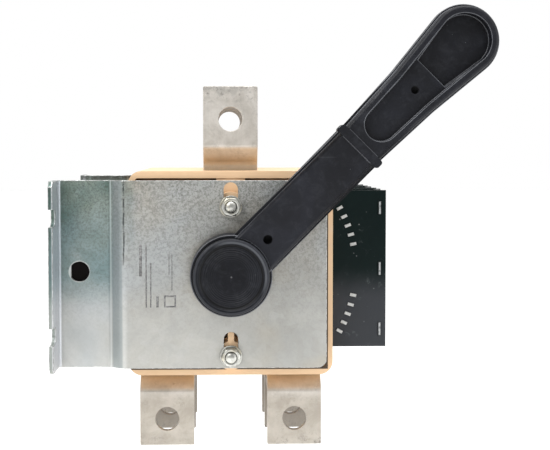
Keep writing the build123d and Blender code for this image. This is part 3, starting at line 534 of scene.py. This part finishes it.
def cap_moulding():
    """The hub cap: as the lever, with the turned mould's rings, painted highlights on the rim, painted shade
    at the dish's foot and a pale dot at the gate.
    """
    look = black_moulding("cap_plastic", (0.0022, 0.0025, 0.0038), 0.32, 0.52, 0.17)
    radius = look.round_axis()
    rings = look.band(look.maths("SINE", look.times(radius, RING_WAVE)), 0.2, 1.0)
    broken = look.band(look.noise(55.0, 3.0), 0.35, 0.6)
    rings = look.times(rings, look.band(radius, RINGS_FROM_R, RINGS_FULL_R), broken)
    moulded = look.shader.inputs["Base Color"].links[0].from_socket
    colour = look.coat(moulded, rings, 0.22, (0.05, 0.052, 0.06))
    # painted highlight round the rim, then painted shade at the dish's foot
    colour = look.coat(colour, look.stripe(radius, *CAP_RIM), 0.3, (0.07, 0.074, 0.085))
    colour = look.coat(colour, look.stripe(radius, *CAP_FOOT), 0.8, (0.001, 0.001, 0.001))
    # a painted highlight on the rim's inner edge, on the lever's side
    towards_lever = look.maths("ADD", look.axis("X"), look.axis("Z"))
    lever_side = look.band(towards_lever, shaft.x + LEVER_SIDE_FROM, shaft.x + LEVER_SIDE_TO)
    worn = look.times(look.stripe(radius, *CAP_RIM_GLINT), lever_side)
    colour = look.coat(colour, worn, 0.7, (0.085, 0.09, 0.10))
    dot = look.band(radius, DOT_FADE_R, DOT_R)
    look.colour(look.coat(colour, dot, 0.35, (0.20, 0.20, 0.21)))
    look.bump(rings, 0.08 * MM, 0.8)
    return look.material


# ---- pole moulding
PLATE_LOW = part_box("near_bracket")[0].z
PLATE_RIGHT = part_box("near_bracket")[1].x
NEAR_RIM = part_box("front_shell_1")[0].y  # the nearest pole's outer face
LINE_BELOW = 1.5 * MM  # how far the painted shadow on the rim reaches past the bracket's edges
LINE_BESIDE = 0.95 * MM
LINE_SOFT = 0.2 * MM
RIM_NEAR, RIM_FAR = NEAR_RIM + 1 * MM, NEAR_RIM + 2 * MM  # the line fades out between these
RECESS_FROM, RECESS_FULL = 0.6 * MM, 2.5 * MM  # painted shade starts and is full this far in from a rim


def bracket_shadow_line(look):
    """A painted shadow line on the nearest rim, along the bracket's lower and right edges."""
    across, height = look.axis("X"), look.axis("Z")
    under = look.stripe(height, PLATE_LOW, LINE_BELOW, LINE_SOFT)
    beside = look.stripe(across, PLATE_RIGHT, LINE_BESIDE, LINE_SOFT)
    above_end = look.band(height, PLATE_LOW - LINE_BELOW - LINE_SOFT, PLATE_LOW - LINE_BELOW)
    left_of_end = look.band(across, PLATE_RIGHT + LINE_BESIDE + LINE_SOFT, PLATE_RIGHT + LINE_BESIDE)
    line = look.maths("MAXIMUM", look.times(under, left_of_end), look.times(beside, above_end))
    return look.times(line, look.band(look.axis("Y"), RIM_FAR, RIM_NEAR))


def peach_moulding(name, shaded):
    """Thermoset moulding: peach, finely speckled, with a slight sheen. Shaded adds painted shade in a pole's
    gaps and a painted shadow along the bracket's edges.
    """
    look = Look(name, roughness=0.5, specular=0.4)
    flow = look.noise(45.0, 4.0, 0.6, 1.2)
    colour = look.mix(flow, (0.72, 0.48, 0.28), (0.80, 0.57, 0.36))
    fleck = look.band(look.noise(2200.0, 3.0, 0.8), 0.60, 0.72)
    colour = look.coat(colour, fleck, 0.22, (0.55, 0.36, 0.22))
    smudge = look.band(look.noise(70.0, 5.0, 0.7), 0.58, 0.72)
    colour = look.coat(colour, smudge, 0.22, (0.60, 0.52, 0.43))
    if shaded:
        from_rim = look.maths("SUBTRACT", look.maths("PINGPONG", look.axis("Y"), pole_pitch), pole_pitch / 2)
        recessed = look.band(look.maths("ABSOLUTE", from_rim), RECESS_FROM, RECESS_FULL)
        # painted shade deep in a pole's gaps
        gap_shade = look.times(look.occluded(4 * MM), recessed)
        colour = look.coat(colour, gap_shade, 0.9, (0.05, 0.03, 0.02))
        # painted shadow of the bracket on the nearest rim
        colour = look.coat(colour, bracket_shadow_line(look), 0.95, (0.015, 0.010, 0.006))
    look.colour(colour)
    look.gloss(look.noise(300.0, 4.0, 0.6), 0.38, 0.6)
    look.bump(look.noise(1500.0, 3.0, 0.6), 0.02 * MM, 0.5)
    return look.material


# ---- terminals
LOW_PAD_TONE = (0.80, 0.775, 0.735)  # the lower terminals are duller than the upper
LOW_PADS_TO, LOW_PADS_FADE_AT = cad_low.z + 20 * MM, cad_low.z + 26 * MM
# painted shade on the terminals of the second and third poles, starting and full at these depths
FAR_POLES_SHADE_FROM, FAR_POLES_SHADE_FULL = plate_face + 20 * MM, plate_face + 30 * MM
TOP_END_FROM, TOP_END_FULL = cad_top - 9 * MM, cad_top + 1 * MM
LOW_END_FROM, LOW_END_FULL = cad_low.z + 5 * MM, cad_low.z - 1 * MM
BENDS_TO, BENDS_FADE_AT = 55 * MM, 58 * MM  # by height above or below the origin


def tinned():
    """Dull tin over copper: warm grey, blotched, with dark specks thickest at the cut ends; painted shade on
    the inner poles and a painted tan reflection at the bends.
    """
    look = Look("tinned_copper", metallic=0.6, roughness=0.42)
    height = look.axis("Z")
    cloud = look.noise(85.0, 6.0, 0.72, 0.4)
    drawn = look.noise(900.0, 3.0, 0.6, place=look.stretched((1.0, 1.0, 0.08)))
    colour = look.mix(look.band(cloud, 0.32, 0.68), (0.45, 0.42, 0.375), (0.60, 0.57, 0.525))
    low_pads = look.band(height, LOW_PADS_FADE_AT, LOW_PADS_TO)
    colour = look.mix(low_pads, colour, LOW_PAD_TONE, "MULTIPLY")
    # painted shade on the second and third poles' terminals
    inner = look.band(look.axis("Y"), FAR_POLES_SHADE_FROM, FAR_POLES_SHADE_FULL)
    colour = look.coat(colour, inner, 0.6, (0.14, 0.125, 0.105))
    colour = look.coat(colour, look.band(drawn, 0.45, 0.7), 0.12, (0.36, 0.34, 0.32))
    top_end = look.band(height, TOP_END_FROM, TOP_END_FULL)
    low_end = look.band(height, LOW_END_FROM, LOW_END_FULL)
    ends = look.maths("ADD", look.maths("MAXIMUM", top_end, low_end), 0.22)
    speck = look.band(look.noise(420.0, 5.0, 0.8), 0.50, 0.62)
    speck = look.times(speck, look.band(look.noise(120.0, 4.0, 0.7), 0.42, 0.60), ends)
    colour = look.coat(colour, speck, 0.9, (0.13, 0.12, 0.11))
    knock = look.band(look.cells(150.0), 0.14, 0.05)
    knock = look.times(knock, look.band(look.noise(230.0, 3.0, 0.7), 0.50, 0.60))
    colour = look.coat(colour, knock, 0.7, (0.18, 0.17, 0.16))
    marks = look.maths("MAXIMUM", look.scratches(1.3, 330.0, 0.68), look.scratches(0.1, 300.0, 0.70))
    colour = look.coat(colour, marks, 0.5, (0.24, 0.225, 0.21))
    # the bends next to the moulding get a painted tan reflection of it
    bends = look.band(look.maths("ABSOLUTE", height), BENDS_FADE_AT, BENDS_TO)
    tan_reflection = look.times(look.occluded(9 * MM), bends)
    colour = look.coat(colour, tan_reflection, 0.65, (0.70, 0.50, 0.27))
    end_dirt = look.times(look.band(look.noise(260.0, 4.0, 0.7), 0.46, 0.60), top_end)
    look.colour(look.coat(colour, end_dirt, 0.45, (0.20, 0.195, 0.185)))
    look.gloss(look.plus(look.times(drawn, 0.3), cloud, 0.7), 0.28, 0.54)
    look.bump(drawn, 0.01 * MM, 0.6)
    look.bump(cloud, 0.1 * MM, 0.3)
    return look.material


# ---- chute fibre
TAB_END, TAB_END_DEEP = 12.8 * MM, 0.15 * MM  # the ends of the chute's tabs, from the middle of a pole
TAB_HALF, TAB_SOFT = 0.25 * MM, 0.3 * MM
DUSTY_FROM, DUSTY_FULL = 10 * MM, -8 * MM  # heights between which the dust thickens
DUSTY_WANDER = 12 * MM


def sawn_tabs(look):
    """The ends of the front wall's tabs, where they come through the side walls."""
    from_pole = look.maths("PINGPONG", look.axis("Y"), pole_pitch / 2)
    end = look.band(from_pole, TAB_END - TAB_END_DEEP, TAB_END)
    on_wall = look.stripe(look.axis("X"), middle("chute_front_wall_1").x, TAB_HALF, TAB_SOFT)
    return look.times(end, on_wall, look.band(look.noise(900.0, 3.0, 0.7), 0.30, 0.55))


def fibre(name, cut_ends):
    """Vulcanised fibre board: green-black, waxy, greyer with dust towards the bottom."""
    look = Look(name, roughness=0.38, specular=0.10)
    cloud = look.noise(40.0, 5.0, 0.65, 0.6)
    colour = look.mix(cloud, (0.0010, 0.0050, 0.0048), (0.004, 0.010, 0.0095))
    lower = look.band(look.plus(look.axis("Z"), cloud, DUSTY_WANDER), DUSTY_FROM, DUSTY_FULL)
    colour = look.coat(colour, lower, 0.85, (0.040, 0.042, 0.047))
    smudge = look.band(look.noise(190.0, 5.0, 0.8, 0.8), 0.56, 0.70)
    smudge = look.times(smudge, look.band(look.noise(38.0, 3.0), 0.46, 0.60))
    colour = look.coat(colour, smudge, 0.34, (0.13, 0.145, 0.145))
    fleck = look.times(look.band(look.cells(240.0), 0.10, 0.05), look.band(look.noise(75.0, 2.0), 0.50, 0.58))
    colour = look.coat(colour, fleck, 0.5, (0.22, 0.23, 0.23))
    if cut_ends:
        colour = look.mix(sawn_tabs(look), colour, (0.36, 0.37, 0.37))
    look.colour(colour)
    look.gloss(look.noise(160.0, 4.0, 0.7), 0.26, 0.5)
    look.bump(look.noise(700.0, 4.0, 0.6), 0.03 * MM, 0.5)
    return look.material


# ---- print
def printed_ink():
    """Worn grey-black screen print."""
    look = Look("ink", roughness=0.55)
    worn = look.band(look.noise(1500.0, 3.0, 0.7), 0.40, 0.62)
    look.colour(look.mix(worn, (0.10, 0.10, 0.10), (0.24, 0.24, 0.235)))
    look.bump(worn, 0.01 * MM, 0.5)
    return look.material


PLAIN_METALS = {  # dark and light colour, roughness from and to, metallic
    "shaft_steel": ((0.30, 0.30, 0.30), (0.52, 0.52, 0.51), 0.25, 0.45, 0.95),
    "bush_brass": ((0.55, 0.38, 0.14), (0.78, 0.60, 0.28), 0.22, 0.42, 0.95),
    "plated_knife": ((0.62, 0.60, 0.56), (0.84, 0.82, 0.78), 0.2, 0.38, 0.95),
    "spring_steel": ((0.14, 0.15, 0.19), (0.30, 0.31, 0.36), 0.25, 0.4, 0.95),
    "blackened_steel": ((0.006, 0.005, 0.005), (0.016, 0.014, 0.014), 0.45, 0.7, 1.0),
    "splitter_steel": ((0.30, 0.30, 0.29), (0.62, 0.63, 0.61), 0.3, 0.5, 0.6),
}
looks = {
    "galvanised_sheet": galvanised(),
    "zinc_hardware": bright_zinc(),
    "lever_plastic": lever_moulding(),
    "cap_plastic": cap_moulding(),
    "rotor_plastic": rotor_moulding(),
    "pole_moulding": peach_moulding("pole_moulding", shaded=True),
    "spacer_moulding": peach_moulding("spacer_moulding", shaded=False),
    "tinned_copper": tinned(),
    "chute_fibre": fibre("chute_fibre", cut_ends=False),
}
for metal, values in PLAIN_METALS.items():
    looks[metal] = plain_metal(metal, *values)
front_wall_look = fibre("chute_fibre_sawn", cut_ends=True)
edge_looks = {"galvanised_sheet": edge_wear_and_glint(), "lever_plastic": rubbed_edge_glint()}
inks = printed_ink()


# ---- making pieces ---------------------------------------------------------------------------
SHARP = math.radians(32)  # edges sharper than this are broken
FLAT = math.radians(0.4)  # faces closer than this to one plane are joined
WELD = 0.001 * MM
EDGE_SEGMENTS = 2
FACE_WEIGHT = 90  # how far large faces outweigh small ones in the shading


def finished(name, mesh, body, slot, *stands_for):
    """Turns a bmesh into a piece that rides on a body and stands for CAD nodes."""
    bmesh.ops.recalc_face_normals(mesh, faces=mesh.faces)
    data = bpy.data.meshes.new(name)
    mesh.to_mesh(data)
    mesh.free()
    piece = bpy.data.objects.new(name, data)
    bpy.context.scene.collection.objects.link(piece)
    data.materials.append(looks[slot])
    data.polygons.foreach_set("use_smooth", [True] * len(data.polygons))
    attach(piece, body)
    if stands_for:
        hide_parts(*stands_for)
    return piece


def even_shading(piece):
    """Keeps large flat faces flat while the small rounds between them stay smooth."""
    weighted = piece.modifiers.new("shading", "WEIGHTED_NORMAL")
    weighted.mode = "FACE_AREA_WITH_ANGLE"
    weighted.weight = FACE_WEIGHT
    weighted.keep_sharp = False


def softened(node, width, shortest=0.0):
    """A CAD node with its sharp edges broken by a small round, except edges below the shortest."""
    mesh = bmesh.new()
    mesh.from_mesh(nodes[node].data)
    bmesh.ops.remove_doubles(mesh, verts=mesh.verts, dist=WELD)
    bmesh.ops.dissolve_limit(mesh, angle_limit=FLAT, verts=mesh.verts, edges=mesh.edges)
    broken = mesh.edges.layers.float.new("bevel_weight_edge")
    for edge in mesh.edges:
        sharp = edge.is_manifold and edge.calc_face_angle() > SHARP
        edge[broken] = 1.0 if sharp and edge.calc_length() > shortest else 0.0
    slot = slots[node]
    piece = finished(node + "_edged", mesh, nodes[node]["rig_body"], slot, node)
    round_edges = piece.modifiers.new("edges", "BEVEL")
    round_edges.width = width
    round_edges.segments = EDGE_SEGMENTS
    round_edges.limit_method = "WEIGHT"
    # clamping would shrink every bevel to suit the shortest edge of these slots' meshes
    round_edges.use_clamp_overlap = slot not in edge_looks
    if slot in edge_looks:
        piece.data.materials.append(edge_looks[slot])
        round_edges.material = 1
    even_shading(piece)


def add_rings(mesh, rings, closed):
    """Joins rings of points into a skin: closed from last to first, or else capped at both ends."""
    loops = [[mesh.verts.new(point) for point in ring] for ring in rings]
    followers = loops[1:] + loops[:1] if closed else loops[1:]
    for one, other in zip(loops, followers):
        for i in range(len(one)):
            j = (i + 1) % len(one)
            mesh.faces.new((one[i], one[j], other[j], other[i]))
    if not closed:
        mesh.faces.new(loops[0])
        mesh.faces.new(loops[-1])


def around(x, z, y, radius_at, steps):
    """One ring of points about an axis along Y. radius_at gives the radius for an angle."""
    ring = []
    for i in range(steps):
        angle = 2 * math.pi * i / steps
        radius = radius_at(angle)
        ring.append((x + radius * math.cos(angle), y, z + radius * math.sin(angle)))
    return ring


# ---- hub cap ---------------------------------------------------------------------------------
CAP_STEPS = 96
CAP_FINE = 0.14 * MM  # step of the dish's profile
CAP_EYE = 0.02 * MM  # both skins of the cap close over this radius
ROUND_STEPS = 6
CAP_EDGE_ROUND = 0.9 * MM
CAP_RIM_W = 1.5 * MM
CAP_SLOPE_W = 1.6 * MM  # the dish's side slopes down from the rim
CAP_DISH = 1.0 * MM
CAP_SEAT = 2.05 * MM  # the cap's seat, in front of the end of its skirt
CAP_SKIRT_R = 12.7 * MM
CAP_SKIRT_IN = 11.2 * MM
CAP_WALL = 2.0 * MM
RIDGES = ((12.6, 0.22), (11.5, 0.16), (10.2, 0.10))  # raised rings in the dish: radius and height, mm
RIDGE_W = 0.32 * MM
GATE_R = 0.5 * MM  # pip left by the moulding gate
GATE_H = 0.3 * MM


def dish_depth(radius):
    """How far the dish lies behind the rim: a slope, raised rings, and the gate's pip in the middle."""
    depth = CAP_DISH - GATE_H * math.exp(-((radius / GATE_R) ** 4))
    for place, ridge in RIDGES:
        depth -= ridge * MM * math.exp(-(((radius - place * MM) / RIDGE_W) ** 2))
    return depth


def make_cap():
    low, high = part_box("hub_cap")
    outer = (high.x - low.x) / 2
    front, back = low.y, high.y
    seat = back - CAP_SEAT
    under = front + CAP_DISH + CAP_WALL
    profile = [(CAP_EYE, under), (CAP_SKIRT_IN, under)]
    profile += [(CAP_SKIRT_IN, back), (CAP_SKIRT_R, back), (CAP_SKIRT_R, seat), (outer, seat)]
    for i in range(ROUND_STEPS + 1):
        turn = math.pi / 2 * i / ROUND_STEPS
        profile.append((
            outer - CAP_EDGE_ROUND * (1 - math.cos(turn)),
            front + CAP_EDGE_ROUND * (1 - math.sin(turn)),
        ))
    inner = outer - CAP_RIM_W
    for i in range(ROUND_STEPS + 1):
        along = i / ROUND_STEPS
        fall = 0.5 - 0.5 * math.cos(math.pi * along)
        profile.append((inner - CAP_SLOPE_W * along, front + CAP_DISH * fall))
    radius = inner - CAP_SLOPE_W - CAP_FINE
    while radius > CAP_FINE:
        profile.append((radius, front + dish_depth(radius)))
        radius -= CAP_FINE
    profile.append((CAP_EYE, front + dish_depth(0.0)))
    mesh = bmesh.new()
    rings = [around(shaft.x, shaft.z, y, lambda _, r=r: r, CAP_STEPS) for r, y in profile]
    add_rings(mesh, rings, closed=False)
    finished("hub_cap_turned", mesh, DRIVE, "cap_plastic", "hub_cap")


# ---- nuts and studs --------------------------------------------------------------------------
NUT_STEPS = 72
NUT_FLATS = 8.0 * MM
NUT_SECTOR = math.radians(60)
NUT_FACE_R = 3.75 * MM  # the flat ring left inside the chamfer
NUT_CHAMFER = math.tan(math.radians(30))
NUT_BORE_R = 2.46 * MM
NUT_SINK = 0.35 * MM  # countersink of the bore at the head
NUT_TURNS = {"upper_tie_stud": 0.0, "lower_tie_stud": math.radians(4)}  # each pair stopped where it was tight
THREAD_PITCH = 0.8 * MM
THREAD_RINGS = 6  # rings of points for each turn of the thread
THREAD_DEPTH = 0.42 * MM
THREAD_LENGTH = 13.0 * MM
STUD_STEPS = 28
STUD_CHAMFER = 0.55 * MM


def nut_rings(x, z, foot, head, turn):
    """A chamfered hexagon nut from its foot, on the washer, to its head."""
    out = math.copysign(1.0, head - foot)

    def hexagon(angle):
        from_flat = (angle - turn) % NUT_SECTOR - NUT_SECTOR / 2
        return NUT_FLATS / 2 / math.cos(from_flat)

    def side_ring(end, inward):
        ring = []
        for px, _, pz in around(x, z, end, hexagon, NUT_STEPS):
            drop = max(0.0, math.hypot(px - x, pz - z) - NUT_FACE_R) * NUT_CHAMFER
            ring.append((px, end + inward * drop, pz))
        return ring

    def disc(radius, y):
        return around(x, z, y, lambda _: radius, NUT_STEPS)

    return [
        disc(NUT_BORE_R, foot), disc(NUT_FACE_R, foot), side_ring(foot, out), side_ring(head, -out),
        disc(NUT_FACE_R, head), disc(NUT_BORE_R + NUT_SINK, head), disc(NUT_BORE_R, head - out * NUT_SINK),
    ]


def make_nuts():
    low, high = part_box("stud_nuts")
    washer_low, washer_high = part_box("stud_washers")
    mesh = bmesh.new()
    for stud, turn in NUT_TURNS.items():
        place = middle(stud)
        add_rings(mesh, nut_rings(place.x, place.z, washer_low.y, low.y, turn), closed=True)
        add_rings(mesh, nut_rings(place.x, place.z, washer_high.y, high.y, turn), closed=True)
    even_shading(finished("stud_nuts_chamfered", mesh, FIXED, "zinc_hardware", "stud_nuts"))


def make_stud(node):
    """A plain rod with a rolled thread at each end."""
    low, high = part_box(node)
    place, radius = middle(node), (high.x - low.x) / 2
    half = (high.y - low.y) / 2
    step = THREAD_PITCH / THREAD_RINGS
    stops = [half - step * i for i in range(int(THREAD_LENGTH / step))]
    offsets = [-y for y in stops] + [0.0] + stops[::-1]
    rings = []
    for offset in offsets:
        from_end = half - abs(offset)

        def radius_at(angle):
            if from_end > THREAD_LENGTH - 2 * step:
                return radius - THREAD_DEPTH / 2
            crest = abs((offset / THREAD_PITCH - angle / (2 * math.pi)) % 1.0 - 0.5) * 2
            cut = radius - THREAD_DEPTH * crest
            return min(cut, radius - STUD_CHAMFER + from_end)

        rings.append(around(place.x, place.z, place.y + offset, radius_at, STUD_STEPS))
    mesh = bmesh.new()
    add_rings(mesh, rings, closed=False)
    finished(node + "_threaded", mesh, FIXED, "zinc_hardware", node)


# ---- printed marks ---------------------------------------------------------------------------
MARK_THICK = 0.02 * MM
MARK_BARS = (  # mm from the shaft in X and from the plate's middle in Z: left, right, low, high
    (-41.0, -39.8, -0.6, 13.6), (-38.2, -37.6, -14.6, 13.6), (-36.2, -35.6, -14.6, 5.4),
    (-27.9, -27.5, 0.0, 9.2), (-26.6, -26.2, -7.0, 9.2), (-33.4, -32.4, -14.6, -9.6),
)
MARK_FRAME = (-30.0, -24.6, -14.6, -9.2)
MARK_FRAME_W = 0.7


def add_bar(mesh, left, right, low, high):
    """A printed bar: a thin slab just proud of the plate's face."""
    corners = ((left, low), (right, low), (right, high), (left, high))
    front, back = (
        [(shaft.x + x * MM, y, plate_z + z * MM) for x, z in corners]
        for y in (plate_face - MARK_THICK, plate_face + MARK_THICK)
    )
    add_rings(mesh, (front, back), closed=False)


def make_marks():
    """Plain bars and an empty frame where the rating would be printed. Nothing can be read in them."""
    mesh = bmesh.new()
    for bar in MARK_BARS:
        add_bar(mesh, *bar)
    left, right, low, high = MARK_FRAME
    wide = MARK_FRAME_W
    add_bar(mesh, left, left + wide, low, high)
    add_bar(mesh, right - wide, right, low, high)
    add_bar(mesh, left + wide, right - wide, low, low + wide)
    add_bar(mesh, left + wide, right - wide, high - wide, high)
    marks = finished("printed_marks", mesh, FIXED, "galvanised_sheet")
    marks.data.materials[0] = inks


# ---- the object ------------------------------------------------------------------------------
POLES = (1, 2, 3)
BROKEN_EDGES = {  # width of the round on the edges of single nodes
    "near_bracket": 0.25 * MM, "far_bracket": 0.25 * MM, "rear_tie_strap": 0.25 * MM, "lever": 0.36 * MM,
    "stud_washers": 0.15 * MM, "retaining_clip": 0.12 * MM,
}
BROKEN_POLE_EDGES = {  # and of the nodes that each pole has
    "front_shell": 0.35 * MM, "back_shell": 0.35 * MM, "top_terminal": 0.3 * MM,
    "lower_front_terminal": 0.3 * MM, "lower_rear_terminal": 0.3 * MM, "chute_side_walls": 0.12 * MM,
}
SHORTEST = {"lever": 0.8 * MM}  # shorter edges stay sharp here, so that small holes get no rings


def dress_nodes():
    """Gives each CAD node the better material of its slot."""
    for node, thing in nodes.items():
        sawn = node.startswith("chute_front_wall")
        thing.data.materials.clear()
        thing.data.materials.append(front_wall_look if sawn else looks[slots[node]])


def break_edges():
    widths = dict(BROKEN_EDGES)
    for pole in POLES:
        for part, width in BROKEN_POLE_EDGES.items():
            widths[f"{part}_{pole}"] = width
    for node, width in widths.items():
        softened(node, width, SHORTEST.get(node, 0.0))


dress_nodes()
break_edges()
make_cap()
make_nuts()
make_stud("upper_tie_stud")
make_stud("lower_tie_stud")
make_marks()

make_camera()
make_world()
for light in LIGHTS:
    area_light(*light)
make_floor()
bpy.context.scene.view_settings.view_transform = "Standard"
